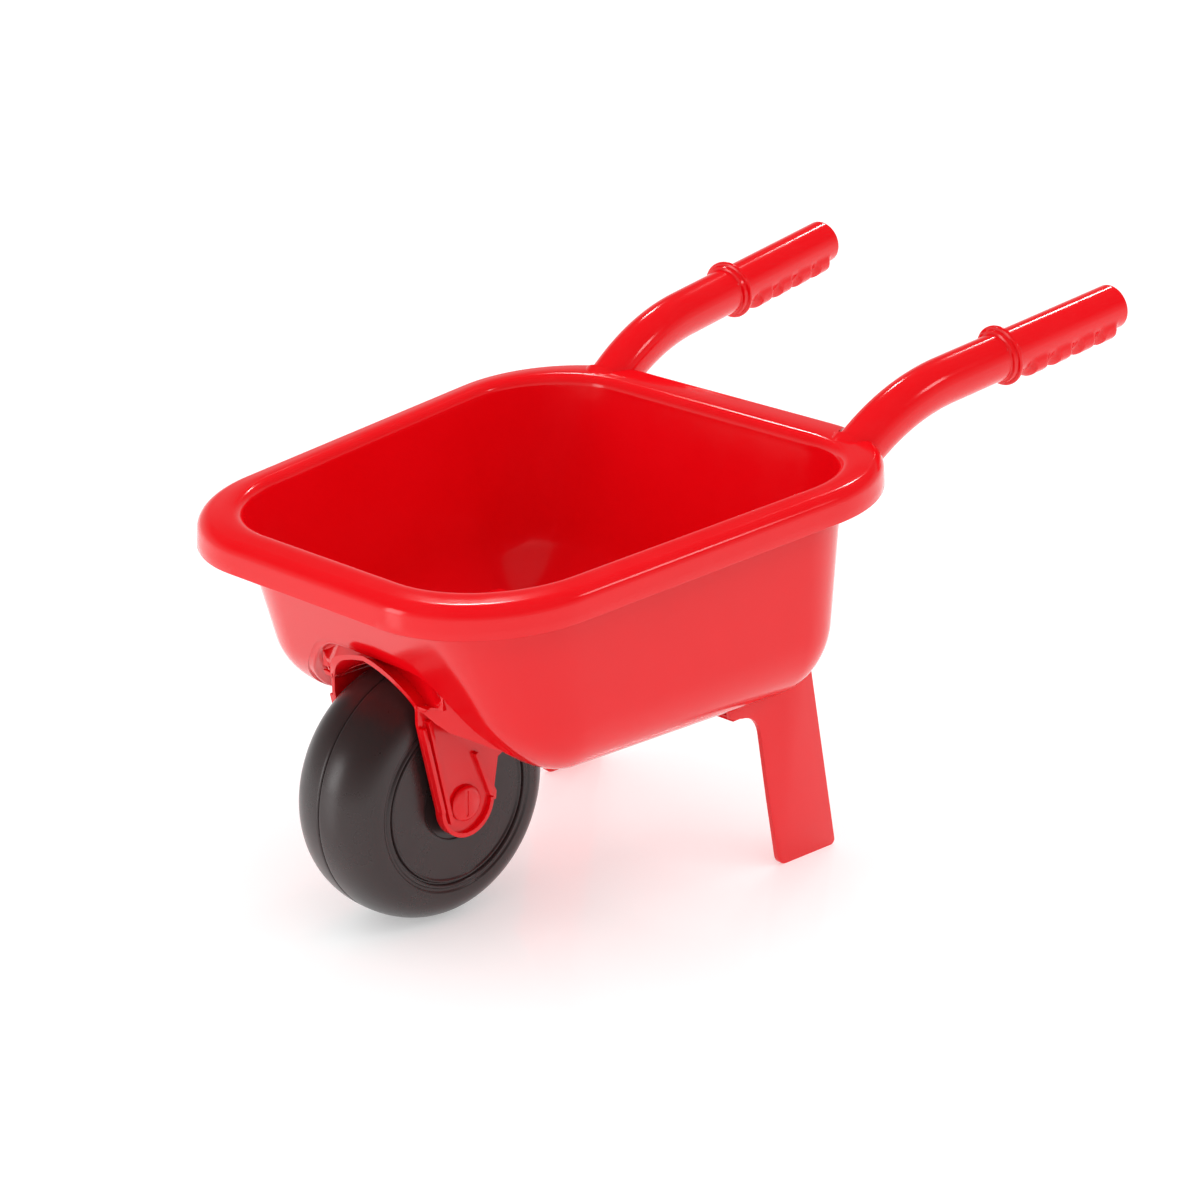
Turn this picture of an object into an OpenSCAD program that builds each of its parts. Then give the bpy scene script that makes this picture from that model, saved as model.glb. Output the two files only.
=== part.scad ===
// Toy wheelbarrow with one wide wheel, two plate legs and two bent handles.
// Units are millimetres, +Z is up, the nose points to -Y and the handles to +Y.
// The ground is z = 0 and the part is symmetric about the plane x = 0.

/* [Node] */
// Sub-part to draw, or all of them

/* [Rim] */
// Length of the rim from its front edge to its rear edge
rim_length = 362.9; // [300:0.1:420]
// Position of the rim's front edge along the barrow
rim_front_y = -285.7; // [-320:0.1:-240]
// Half of the rim's width at the front
rim_front_half = 152.1; // [120:0.1:180]
// Half of the rim's width at the rear
rim_rear_half = 167.5; // [120:0.1:200]
// Plan radius of the rim's front corners
rim_corner_front = 85.3; // [40:0.1:120]
// Plan radius of the rim's rear corners
rim_corner_rear = 85.7; // [40:0.1:120]
// Height of the rim's top plane where it crosses y = 0
rim_z = 262.1; // [220:0.1:300]
// Rise of the rim's top plane towards the handles, in degrees
rim_tilt = 5.06; // [0:0.01:10]
// Depth of the rim's outer skirt
skirt_depth = 19.2; // [10:0.1:30]
// Radius of the rim's upper outer edge
rim_edge_r = 5.3; // [2:0.1:8]

/* [Tub] */
// Thickness of the moulded walls
wall = 3.0; // [2:0.1:4]
// Half of the body's width at the bottom, front
body_front_half = 129.8; // [100:0.1:150]
// Half of the body's width at the bottom, rear
body_rear_half = 144.0; // [100:0.1:160]
// Position of the front wall at floor level
body_front_y = -207.8; // [-240:0.1:-180]
// Position of the rear wall at floor level
body_rear_y = 23.4; // [0:0.1:60]
// Plan radius of the body's corners at floor level
body_corner = 37.0; // [20:0.1:60]
// Radius between the walls and the floor
floor_fillet = 43.8; // [20:0.1:60]
// Height of the floor's underside where it crosses y = 0
floor_z = 117.74; // [90:0.01:140]
// Rise of the floor towards the handles, in degrees
floor_tilt = 2.33; // [0:0.01:6]

/* [Wheel] */
// Radius of the wheel
wheel_r = 80.0; // [60:0.5:100]
// Half of the wheel's width
wheel_half = 33.1; // [20:0.1:45]
// Radius of the flat side disc
disc_r = 58.5; // [40:0.1:70]
// Position of the axle along the barrow
axle_y = -197.5; // [-220:0.1:-170]
// Radius of the axle
axle_r = 6.0; // [4:0.1:8]
// Radius of the hub tube's outside
hub_r = 12.0; // [9:0.1:16]
// Radius of the axle caps
cap_r = 11.0; // [8:0.1:14]

/* [Fork] */
// Distance from the middle to the inner face of each fork arm
arm_in = 36.0; // [34.5:0.1:40]
// Thickness of the fork's moulded walls
fork_wall = 2.6; // [2:0.1:4]
// Height of the fork's ribs above its web
rib_height = 3.4; // [2:0.1:6]
// Radius of the rounded lower end of each arm
arm_end_r = 20.6; // [16:0.1:26]

/* [Handles] */
// Radius of the handle tube
tube_r = 15.2; // [12:0.1:18]
// Radius of the grip
grip_r = 14.6; // [12:0.1:18]
// Wall thickness of the handle tube
tube_wall = 2.5; // [1.5:0.1:4]
// Slope of the lower handle tube, in degrees
root_slope = 35.6; // [20:0.1:50]
// Slope of the grip, in degrees
grip_slope = 8.5; // [0:0.1:20]
// Radius of the bend in the handle
bend_r = 149.0; // [80:1:200]
// Splay of the handles in plan, in degrees
splay = 4.5; // [0:0.1:10]
// Distance along the handle from the bend's corner to the collar
collar_at = 85.8; // [70:0.1:110]
// Length of the grip from the collar to its end
grip_length = 103.5; // [80:0.1:120]
// Radius of the collar
collar_r = 19.6; // [17:0.1:24]
// Spacing of the finger ridges
ridge_pitch = 21.3; // [16:0.1:26]

/* [Legs] */
// Distance from the middle to the outer face of each leg
leg_out = 107.4; // [90:0.1:120]
// Depth of the leg's edge flanges
leg_depth = 7.0; // [5:0.1:14]
// Thickness of the leg's plate
leg_wall = 3.2; // [2:0.1:4]

/* [Hidden] */
red = [0.89, 0.03, 0.07];
black = [0.11, 0.09, 0.09];
steel = [0.72, 0.72, 0.74];
rim_rear_y = rim_front_y + rim_length;
rim_slope = tan(rim_tilt);
floor_slope = tan(floor_tilt);
bend = root_slope - grip_slope;
bend_len = bend_r * tan(bend / 2);
handle_x = 111.0;
handle_y = 102.0;
handle_z = 283.0;
mid = $preview ? 48 : 64;

function lerp(a, b, t) = a + (b - a) * t;
function arc(cx, cy, r, a0, a1, n) =
  [for (i = [0:n]) [cx + r * cos(a0 + (a1 - a0) * i / n), cy + r * sin(a0 + (a1 - a0) * i / n)]];

// ---------- tub outline ----------
// Four thin discs whose hull is a rounded outline lying in a tilted plane
module discs(yf, yr, hf, hr, rf, rr, z0, tilt) {
  for (s = [-1, 1]) {
    translate([s * (hf - rf), yf + rf, z0 + (yf + rf) * tan(tilt)])
      rotate([tilt, 0, 0])
        cylinder(r = rf, h = 0.04, center = true, $fn = mid);
    translate([s * (hr - rr), yr - rr, z0 + (yr - rr) * tan(tilt)])
      rotate([tilt, 0, 0])
        cylinder(r = rr, h = 0.04, center = true, $fn = mid);
  }
}

// Outline of the body at a share t of the way from the floor to the rim
module body_slice(t, inset, lift) {
  discs(lerp(body_front_y, rim_front_y + 20.95, t) + inset,
        lerp(body_rear_y, rim_rear_y - 29.2, t) - inset,
        lerp(body_front_half, rim_front_half - 20.35, t) - inset,
        lerp(body_rear_half, rim_rear_half - 20.2, t) - inset,
        max(lerp(body_corner, rim_corner_front - 11.7, t) - inset, 3),
        max(lerp(body_corner, rim_corner_rear - 23.4, t) - inset, 3),
        lerp(floor_z, rim_z, t) + lift,
        lerp(floor_tilt, rim_tilt, t));
}

// Solid body, shrunk by skin, from the floor up to the rim
module body_solid(skin, top_lift) {
  r = floor_fillet - skin;
  hull() {
    for (a = [90, 76, 62, 48, 34, 20, 6]) {
      rise = skin + r * (1 - sin(a));
      body_slice(rise / 138, skin + r * (1 - cos(a)), 0);
    }
    body_slice(1, skin, top_lift);
  }
}

// Outline of the rim, inset all round and lowered
module rim_slice(inset, drop) {
  discs(rim_front_y + inset, rim_rear_y - inset, rim_front_half - inset, rim_rear_half - inset,
        rim_corner_front - inset, rim_corner_rear - inset, rim_z - drop, rim_tilt);
}

module rim_solid() {
  hull() {
    rim_slice(0, skirt_depth);
    rim_slice(1.1, rim_edge_r);
    rim_slice(1.1 + rim_edge_r * 0.134, rim_edge_r * 0.5);
    rim_slice(1.1 + rim_edge_r * 0.5, rim_edge_r * 0.134);
    rim_slice(1.1 + rim_edge_r, 0);
  }
}

module rim_hollow() {
  hull() {
    rim_slice(2.5, skirt_depth + 1);
    rim_slice(3.6, rim_edge_r + 1);
    rim_slice(6.6, 3);
  }
}

// Flared mouth that rounds the rim's inner edge
module mouth() {
  hull() {
    body_slice(1, wall, -6);
    discs(rim_front_y + 17.7, rim_rear_y - 26, rim_front_half - 17.1, rim_rear_half - 17,
          rim_corner_front - 8.5, rim_corner_rear - 20.2, rim_z + 0.05, rim_tilt);
  }
}

// ---------- wheel arch ----------
arch_rear_y = axle_y + wheel_r + 16;
arch_half = [[0, 168.5], [40, 168.5], [45, 166], [53, 160.5], [60, 152.5], [70, 141.5], [78, 131.5],
             [84, 121.5], [87, 112], [88, 90], [0, 90]];
arch_shell = [[0, 171.5], [41, 171.5], [47, 168.6], [55, 163], [62.4, 154.6], [72.4, 143.4], [80.6, 133],
              [86.8, 122.6], [90, 112.6], [91, 90], [0, 90]];

module both_sides(points) {
  polygon(points);
  mirror([1, 0])
    polygon(points);
}

// Extrusion of the arch's outline along the barrow
module arch(points, from, to) {
  translate([0, to, 0])
    rotate([90, 0, 0])
      linear_extrude(height = to - from)
        both_sides(points);
}

// ---------- handle line ----------
// Places children on the handle's frame, side is 1 for left and -1 for right
module on_handle(side) {
  translate([side * handle_x, handle_y, handle_z])
    rotate([0, 0, -side * splay])
      children();
}

// Straight piece of the lower tube, measured back from the bend's corner
module root_rod(r, from, to) {
  rotate([root_slope - 90, 0, 0])
    translate([0, 0, -from])
      cylinder(r = r, h = from - to, $fn = 64);
}

// Straight piece of the upper tube, measured forward from the bend's corner
module grip_rod(r1, r2, from, to) {
  rotate([grip_slope - 90, 0, 0])
    translate([0, 0, from])
      cylinder(r1 = r1, r2 = r2, h = to - from, $fn = 64);
}

// Curved piece of the tube between the two straight pieces
module bend_rod(r) {
  translate([0, -bend_len * cos(root_slope) + bend_r * sin(root_slope),
             -bend_len * sin(root_slope) - bend_r * cos(root_slope)])
    rotate([90, 0, 90])
      rotate([0, 0, 90 + grip_slope])
        rotate_extrude(angle = bend, $fn = 160)
          translate([bend_r, 0])
            circle(r = r, $fn = 48);
}

screw_at = 57;
boss_drop = 6;
plate_t = 2.6;
fork_screw_y = [-96, -70];
leg_screw_y = [-30, -10];

// ---------- tub ----------
module tub() {
  color(red)
    difference() {
      union() {
        body_solid(0, 0);
        difference() {
          rim_solid();
          rim_hollow();
          for (side = [-1, 1])
            on_handle(side)
              root_rod(17.4, 62, 10);
        }
        for (side = [-1, 1]) {
          on_handle(side)
            root_rod(18.2, 76, 47);
          for (y = fork_screw_y)
            translate([side * 30, y, floor_z + y * floor_slope - boss_drop])
              cylinder(r = 5, h = boss_drop + 2, $fn = 48);
          for (y = leg_screw_y)
            translate([side * 86, y, floor_z + y * floor_slope - boss_drop])
              cylinder(r = 5, h = boss_drop + 3, $fn = 48);
        }
      }
      difference() {
        union() {
          body_solid(wall, 2);
          mouth();
        }
        arch(arch_shell, -300, arch_rear_y + 3);
      }
      arch(arch_half, -300, arch_rear_y);
      for (side = [-1, 1]) {
        difference() {
          on_handle(side)
            root_rod(tube_r + 0.05, 80, 10);
          translate([-200, -150, 150])
            cube([400, 199.15, 200]);
        }
        on_handle(side)
          rotate([root_slope - 90, 0, 0])
            translate([0, 0, -screw_at])
              rotate([-90, 0, 0])
                cylinder(r = 2.1, h = 22, $fn = 32);
        for (y = leg_screw_y)
          translate([side * 86, y, floor_z + y * floor_slope - boss_drop - 2])
            cylinder(r = 2.1, h = 9.5, $fn = 32);
        for (y = fork_screw_y)
          translate([side * 30, y, floor_z + y * floor_slope - boss_drop - 2])
            cylinder(r = 2.1, h = 9.5, $fn = 32);
      }
    }
}

// ---------- fork ----------
module side_plate(points, from, to) {
  translate([from, 0, 0])
    rotate([90, 0, 90])
      linear_extrude(height = to - from)
        polygon(points);
}

// Side plate of the fork from the hood's spring line down to the axle, seen from the side
spring_z = 148.2;
fork_side = [[-232.6, spring_z], [-232.6, 138.5], [-228.6, 121.6], [-217.2, 76],
             [-197.5, 78], [-178.5, 75.3], [-172.4, 75.3], [-171.8, 80.4], [-173.6, 84], [-170.5, 102],
             [-162, 106], [-105, 106], [-105, spring_z]];

// Rib along the arm, drawn as a bar between two points of the side view
module rib(a, b, width, from, to) {
  len = norm(b - a);
  ang = atan2(b[1] - a[1], b[0] - a[0]);
  translate([from, a[0], a[1]])
    rotate([ang, 0, 0])
      translate([0, 0, -width / 2])
        cube([to - from, len, width]);
}

// Slanted wing from the arm's front edge back to the tub's front wall
wing_turn = 32.0;
wing_lean = 14.2;
wing_edge = [[37, 158], [40, 164.0], [45.2, 164.2], [52.2, 159.2], [59.2, 151.2], [69.2, 140.2],
             [77.0, 130.9], [79.5, 124.5], [72, 125.5], [62, 130], [52, 133.5], [46, 139],
             [40.5, 146], [37, 147.5]];

module wing() {
  intersection() {
    translate([arm_in + fork_wall - 0.4, -232.4, 147])
      rotate([0, 0, wing_turn])
        rotate([wing_lean, 0, 0])
          translate([-4, 0, -70])
            cube([90, fork_wall, 110]);
    translate([0, -176, 0])
      rotate([90, 0, 0])
        linear_extrude(height = 124)
          polygon(wing_edge);
  }
}

module arm() {
  difference() {
    union() {
      side_plate(fork_side, arm_in, arm_in + fork_wall);
      translate([arm_in, axle_y, wheel_r])
        rotate([0, 90, 0])
          cylinder(r = arm_end_r, h = fork_wall, $fn = 96);
      rib([-216.4, 79], [-230.4, 136], 2.6, arm_in + 1, arm_in + fork_wall + rib_height);
      rib([-210.0, 71], [-226.4, 140], 2.6, arm_in + 1, arm_in + fork_wall + rib_height);
      rib([-178.6, 81], [-190.0, 110], 2.6, arm_in + 1, arm_in + fork_wall + rib_height);
      difference() {
        translate([arm_in, axle_y, wheel_r])
          rotate([0, 90, 0])
            cylinder(r = arm_end_r, h = fork_wall + rib_height, $fn = 96);
        translate([arm_in + fork_wall - 0.5, axle_y, wheel_r])
          rotate([0, 90, 0])
            cylinder(r = arm_end_r - 2.6, h = 12, $fn = 96);
        translate([arm_in + fork_wall - 0.5, axle_y - 30, wheel_r - 1])
          cube([12, 60, 40]);
      }
      wing();
    }
    translate([arm_in - 1, axle_y, wheel_r])
      rotate([0, 90, 0])
        cylinder(r = axle_r + 0.05, h = 12, $fn = 64);
  }
}

// Half outlines of the hood, its outside and its inside, across against height
hood_out = [[0, 167.7], [7.5, 166.2], [14.8, 163.7], [24.2, 159.6], [31, 155.8], [35.4, 152.4],
            [37.8, 150], [38.6, spring_z], [0, spring_z]];
hood_in = [[0, 165], [7, 163.6], [14, 161.2], [23, 157.2], [29.4, 153.6], [33.4, 150.6],
           [35.4, 148.6], [36, 147.2], [0, 147.2]];
// Half outline of the hood's front face, which fills the tub's arch
brow = [[0, 165], [7, 163.6], [14, 161.2], [23, 157.2], [29.4, 153.6], [33.4, 150.6], [36.2, 147.8],
        [44, 147.8], [46.4, 150], [46.4, 163.8], [44.2, 165.3], [39.8, 168], [0, 168]];

module wheel_fork() {
  color(red)
    difference() {
      union() {
        difference() {
          translate([0, -105, 0])
            rotate([90, 0, 0])
              linear_extrude(height = 127.6)
                both_sides(hood_out);
          translate([0, -107.6, 0])
            rotate([90, 0, 0])
              linear_extrude(height = 150)
                both_sides(hood_in);
        }
        translate([0, -230, 0])
          rotate([90, 0, 0])
            linear_extrude(height = 2.6)
              both_sides(brow);
        arm();
        mirror([1, 0, 0])
          arm();
        translate([-37, -107.6, 107])
          cube([74, 2.6, 48]);
        under_plate(-50, 50, -107.6, -58);
      }
      for (side = [-1, 1])
        for (y = fork_screw_y)
          translate([side * 30, y, floor_z - 22])
            cylinder(r = 2.1, h = 20, $fn = 32);
    }
}

// Plate lying just below the tub's screw bosses, parallel to the tub's floor
module under_plate(x0, x1, y0, y1) {
  translate([x0, 0, floor_z - boss_drop - 0.3])
    rotate([floor_tilt, 0, 0])
      translate([0, y0, -plate_t])
        cube([x1 - x0, y1 - y0, plate_t]);
}

// Pan-head screw pointing up, its head's bearing face at the origin
module screw(length) {
  cylinder(r = 1.9, h = length, $fn = 24);
  difference() {
    translate([0, 0, -2.4])
      cylinder(r1 = 3.0, r2 = 4.0, h = 2.4, $fn = 32);
    translate([-3, -0.4, -3])
      cube([6, 0.8, 1.8]);
    translate([-0.4, -3, -3])
      cube([0.8, 6, 1.8]);
  }
}

module fork_screws() {
  color(steel)
    for (side = [-1, 1])
      for (y = fork_screw_y)
        translate([side * 30, y, floor_z - boss_drop - 0.55 - plate_t + y * floor_slope])
          screw(8.5);
}

// ---------- wheel ----------
// Points on the wheel's rounded shoulder, as [distance from the middle, radius]
function shoulder(r_top, r_low, half, n) =
  [for (i = [0:n]) [half * pow(sin(90 * i / n), 0.893), r_low + (r_top - r_low) * pow(cos(90 * i / n), 0.893)]];

module revolve_x() {
  rotate([0, 90, 0])
    rotate_extrude($fn = 120)
      rotate(90)
        mirror([0, 1])
          children();
}

// Half of the wheel's shell, drawn for the +X side
module wheel_half() {
  revolve_x()
    polygon(concat([[0.2, hub_r + 0.05], [0.2, hub_r + 2.6], [wheel_half - 5.2, hub_r + 2.6],
                    [wheel_half - 5.2, 26], [wheel_half - 2.6, 27.5], [wheel_half - 2.6, disc_r]],
                   [for (i = [7:-1:0]) shoulder(wheel_r - 2.6, disc_r, wheel_half - 2.6, 8)[i]
                     + [i == 0 ? 0.2 : 0, 0]],
                   [[0.2, wheel_r - 0.9]],
                   [for (i = [0:12]) [max(shoulder(wheel_r, disc_r, wheel_half, 12)[i][0], 0.9),
                                      shoulder(wheel_r, disc_r, wheel_half, 12)[i][1]]],
                   [[wheel_half - 0.9, disc_r - 0.9], [wheel_half - 0.9, 54.6], [wheel_half, 53.6],
                    [wheel_half, 51.2], [wheel_half - 0.9, 50.4], [wheel_half - 0.9, 25.4],
                    [wheel_half - 2.6, 23.4], [wheel_half - 2.6, hub_r + 0.05]]));
}

// Places children on the four screw lines of the wheel
screw_ring = 40;
module on_screw_ring() {
  for (a = [45, 135, 225, 315])
    rotate([a, 0, 0])
      translate([0, 0, screw_ring])
        children();
}

module at_axle() {
  translate([0, axle_y, wheel_r])
    children();
}

module wheel_half_left() {
  color(black)
    at_axle()
      difference() {
        union() {
          wheel_half();
          on_screw_ring()
            translate([0.2, 0, 0])
              rotate([0, 90, 0])
                cylinder(r = 4.6, h = wheel_half - 2.4, $fn = 32);
        }
        on_screw_ring()
          translate([-1, 0, 0])
            rotate([0, 90, 0])
              cylinder(r = 2.1, h = 20, $fn = 24);
      }
}

module wheel_half_right() {
  color(black)
    at_axle()
      difference() {
        union() {
          mirror([1, 0, 0])
            wheel_half();
          on_screw_ring()
            translate([2.2 - wheel_half, 0, 0])
              rotate([0, 90, 0])
                cylinder(r = 6.6, h = wheel_half - 2.4, $fn = 32);
        }
        on_screw_ring()
          translate([-wheel_half - 1, 0, 0])
            rotate([0, 90, 0])
              cylinder(r = 4.6, h = 5.0, $fn = 32);
        on_screw_ring()
          translate([-wheel_half - 1, 0, 0])
            rotate([0, 90, 0])
              cylinder(r = 2.1, h = 40, $fn = 24);
      }
}

// Long screws that pull the two halves of the wheel together from the right
module wheel_screws() {
  color(steel)
    at_axle()
      on_screw_ring()
        translate([4.0 - wheel_half, 0, 0])
          rotate([0, 90, 0])
            screw(44);
}

module hub_tube() {
  color(black)
    at_axle()
      rotate([0, 90, 0])
        difference() {
          cylinder(r = hub_r, h = 2 * wheel_half - 5.2, center = true, $fn = 64);
          cylinder(r = 8.9, h = 80, center = true, $fn = 48);
        }
}

// Flanged bush that carries the wheel on the axle, drawn for the +X side
module wheel_bush() {
  difference() {
    union() {
      translate([wheel_half - 17, 0, 0])
        rotate([0, 90, 0])
          cylinder(r = 8.85, h = 16, $fn = 48);
      translate([wheel_half - 2.55, 0, 0])
        rotate([0, 90, 0])
          cylinder(r = 14.5, h = 2.4, $fn = 48);
    }
    rotate([0, 90, 0])
      cylinder(r = axle_r + 0.05, h = 100, $fn = 64);
  }
}

module wheel_bush_left() {
  color(black)
    at_axle()
      wheel_bush();
}

module wheel_bush_right() {
  color(black)
    at_axle()
      mirror([1, 0, 0])
        wheel_bush();
}

module axle() {
  color(steel)
    at_axle()
      rotate([0, 90, 0])
        cylinder(r = axle_r, h = 2 * (arm_in + fork_wall + 1.2), center = true, $fn = 64);
}

// Push-on cap with a crossed slot in its face, drawn for the +X side
module axle_cap() {
  translate([arm_in + fork_wall + 0.05, 0, 0])
    rotate([0, 90, 0])
      difference() {
        union() {
          cylinder(r = cap_r, h = 1.7, $fn = 64);
          translate([0, 0, 1.7])
            cylinder(r1 = cap_r, r2 = cap_r - 1.6, h = 1.1, $fn = 64);
        }
        translate([0, 0, -1])
          cylinder(r = axle_r + 0.05, h = 2.4, $fn = 64);
        translate([-cap_r + 3, -0.9, 1.9])
          cube([2 * cap_r - 6, 1.8, 3]);
      }
}

module axle_cap_left() {
  color(red)
    at_axle()
      axle_cap();
}

module axle_cap_right() {
  color(red)
    at_axle()
      mirror([1, 0, 0])
        axle_cap();
}

// Washer between a bush and its fork arm, drawn for the +X side
module thrust_washer() {
  translate([arm_in - 1.8, 0, 0])
    rotate([0, 90, 0])
      difference() {
        cylinder(r = 12, h = 1.2, $fn = 48);
        translate([0, 0, -1])
          cylinder(r = axle_r + 0.1, h = 4, $fn = 48);
      }
}

module thrust_washer_left() {
  color(steel)
    at_axle()
      thrust_washer();
}

module thrust_washer_right() {
  color(steel)
    at_axle()
      mirror([1, 0, 0])
        thrust_washer();
}

// ---------- handles ----------
module handle(side) {
  color(red)
    difference() {
      on_handle(side)
        difference() {
          union() {
            root_rod(tube_r, 80, bend_len - 0.6);
            bend_rod(tube_r - 0.05);
            grip_rod(tube_r, tube_r, bend_len - 0.6, collar_at);
            grip_rod(17.2, 17.2, collar_at - 4.2, collar_at);
            grip_rod(collar_r, collar_r, collar_at - 1.5, collar_at + 1.5);
            grip_rod(grip_r, grip_r, collar_at, collar_at + grip_length - 1.2);
            grip_rod(grip_r, grip_r - 1.2, collar_at + grip_length - 1.2, collar_at + grip_length);
            for (i = [0:3])
              rotate([grip_slope - 90, 0, 0])
                translate([0, 6.4, collar_at + 14.2 + i * ridge_pitch]) {
                  cylinder(r1 = 9.6, r2 = 12.0, h = 2.2, $fn = 48);
                  translate([0, 0, 2.2])
                    cylinder(r = 12.0, h = 10.6, $fn = 48);
                  translate([0, 0, 12.8])
                    cylinder(r1 = 12.0, r2 = 8.8, h = 4.0, $fn = 48);
                }
          }
          root_rod(tube_r - tube_wall, 84, bend_len - 0.6);
          bend_rod(tube_r - tube_wall - 0.05);
          grip_rod(tube_r - tube_wall, tube_r - tube_wall, bend_len - 0.6, collar_at - 3);
          grip_rod(grip_r - tube_wall, grip_r - tube_wall, collar_at - 4, collar_at + grip_length - 3);
          rotate([root_slope - 90, 0, 0])
            translate([0, 0, -screw_at])
              rotate([-90, 0, 0])
                cylinder(r = 2.1, h = 22, $fn = 32);
        }
      translate([-200, -150, 150])
        cube([400, 199.2, 200]);
    }
}

module handle_left() {
  handle(1);
}

module handle_right() {
  handle(-1);
}

module handle_screws() {
  color(steel)
    for (side = [-1, 1])
      on_handle(side)
        rotate([root_slope - 90, 0, 0])
          translate([0, 18.3, -screw_at])
            rotate([90, 0, 0])
              screw(8);
}

// ---------- legs ----------
leg_line = concat([[-44.6, 115.0], [-42.4, 109.7]], arc(-33.5, 90.0, 17.6, 88, 12, 8),
                  [[-7.3, 46.9]], arc(8.9, 8.0, 8, 192, 270, 5), arc(50.3, 3.2, 3.2, 270, 372, 5),
                  [[28.7, 121.7], [25.8, 135.6], [21, 139.6], [17, 134.8], [10, 127.0], [5, 123.0],
                   [0, 120.2], [-5, 118.0], [-12, 116.0], [-20, 115.4]]);
leg_pocket = [[-60, 150], [-60, 60], [-20, -5], [48.4, -5], [49.8, 8], [25.4, 121.7], [21, 150]];

// Thin plate with a shallow flange down the upper part of its rear edge and a tab that screws to the tub
module leg() {
  difference() {
    union() {
      side_plate(leg_line, leg_out - leg_wall, leg_out);
      difference() {
        side_plate(leg_line, leg_out - leg_depth, leg_out - leg_wall + 0.5);
        side_plate(leg_pocket, leg_out - leg_depth - 1, leg_out);
        translate([leg_out - 40, -80, -1])
          cube([60, 160, 41]);
      }
      under_plate(leg_out - 30, leg_out - 1, -40, 0);
    }
    for (y = leg_screw_y)
      translate([86, y, floor_z - 22])
        cylinder(r = 2.1, h = 20, $fn = 32);
  }
}

module leg_left() {
  color(red)
    leg();
}

module leg_right() {
  color(red)
    mirror([1, 0, 0])
      leg();
}

module leg_screws() {
  color(steel)
    for (side = [-1, 1])
      for (y = leg_screw_y)
        translate([side * 86, y, floor_z - boss_drop - 0.55 - plate_t + y * floor_slope])
          screw(8.5);
}

tub();
wheel_fork();
fork_screws();
wheel_half_left();
wheel_half_right();
wheel_screws();
hub_tube();
wheel_bush_left();
wheel_bush_right();
axle();
axle_cap_left();
axle_cap_right();
thrust_washer_left();
thrust_washer_right();
handle_left();
handle_right();
handle_screws();
leg_left();
leg_right();
leg_screws();
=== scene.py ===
"""Looks of the toy wheelbarrow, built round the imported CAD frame.

Lengths in the shape code are millimetres in the frame's own axes; MM turns them into metres.
"""
import math

import bmesh
import bpy
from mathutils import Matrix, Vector
from mathutils.bvhtree import BVHTree


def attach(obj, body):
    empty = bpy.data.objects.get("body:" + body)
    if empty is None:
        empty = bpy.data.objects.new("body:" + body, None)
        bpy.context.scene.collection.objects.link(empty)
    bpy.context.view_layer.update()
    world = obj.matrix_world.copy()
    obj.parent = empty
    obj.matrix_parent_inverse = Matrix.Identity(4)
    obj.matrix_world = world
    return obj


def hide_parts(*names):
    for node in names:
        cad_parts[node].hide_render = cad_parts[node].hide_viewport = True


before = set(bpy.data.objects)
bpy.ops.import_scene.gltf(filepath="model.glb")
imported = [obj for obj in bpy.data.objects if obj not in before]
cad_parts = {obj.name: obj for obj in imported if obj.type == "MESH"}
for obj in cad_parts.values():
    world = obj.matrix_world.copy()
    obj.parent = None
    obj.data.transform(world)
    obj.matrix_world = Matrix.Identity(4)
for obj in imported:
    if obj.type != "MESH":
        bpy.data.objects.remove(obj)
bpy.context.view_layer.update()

MM = 0.001


# ---------------------------------------------------------------- helpers
def lerp(a, b, t):
    return a + (b - a) * t


def clamp01(t):
    return max(0.0, min(1.0, t))


def smooth(t):
    t = clamp01(t)
    return t * t * (3 - 2 * t)


def pchip(xs, ys, x):
    """Monotone cubic through the points (xs, ys), at x."""
    n = len(xs)
    if x <= xs[0]:
        return ys[0]
    if x >= xs[-1]:
        return ys[-1]
    h = [xs[i + 1] - xs[i] for i in range(n - 1)]
    d = [(ys[i + 1] - ys[i]) / h[i] for i in range(n - 1)]
    m = [d[0]]
    for i in range(1, n - 1):
        if d[i - 1] * d[i] <= 0:
            m.append(0.0)
        else:
            w1, w2 = 2 * h[i] + h[i - 1], h[i] + 2 * h[i - 1]
            m.append((w1 + w2) / (w1 / d[i - 1] + w2 / d[i]))
    m.append(d[-1])
    i = max(k for k in range(n - 1) if xs[k] <= x)
    t = (x - xs[i]) / h[i]
    return (
        (2 * t**3 - 3 * t**2 + 1) * ys[i]
        + (t**3 - 2 * t**2 + t) * h[i] * m[i]
        + (3 * t**2 - 2 * t**3) * ys[i + 1]
        + (t**3 - t**2) * h[i] * m[i + 1]
    )


def new_object(name, verts, faces):
    """Object from millimetre vertices and faces."""
    me = bpy.data.meshes.new(name)
    me.from_pydata([(v[0] * MM, v[1] * MM, v[2] * MM) for v in verts], [], faces)
    me.update()
    ob = bpy.data.objects.new(name, me)
    bpy.context.scene.collection.objects.link(ob)
    return ob


def recalc(ob):
    bm = bmesh.new()
    bm.from_mesh(ob.data)
    bmesh.ops.recalc_face_normals(bm, faces=bm.faces)
    bm.to_mesh(ob.data)
    bm.free()
    return ob


def loft(name, loops, cap_first=False, cap_last=False, ring=False):
    """Closed loops of equal length joined by quads; ring joins the last to the first."""
    n = len(loops[0])
    verts = [p for loop in loops for p in loop]
    faces = []
    rows = len(loops)
    for i in range(rows if ring else rows - 1):
        a, b = i * n, ((i + 1) % rows) * n
        for j in range(n):
            k = (j + 1) % n
            faces.append((a + j, a + k, b + k, b + j))
    if cap_first:
        faces.append(tuple(range(n - 1, -1, -1)))
    if cap_last:
        faces.append(tuple(range((rows - 1) * n, rows * n)))
    return recalc(new_object(name, verts, faces))


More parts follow.
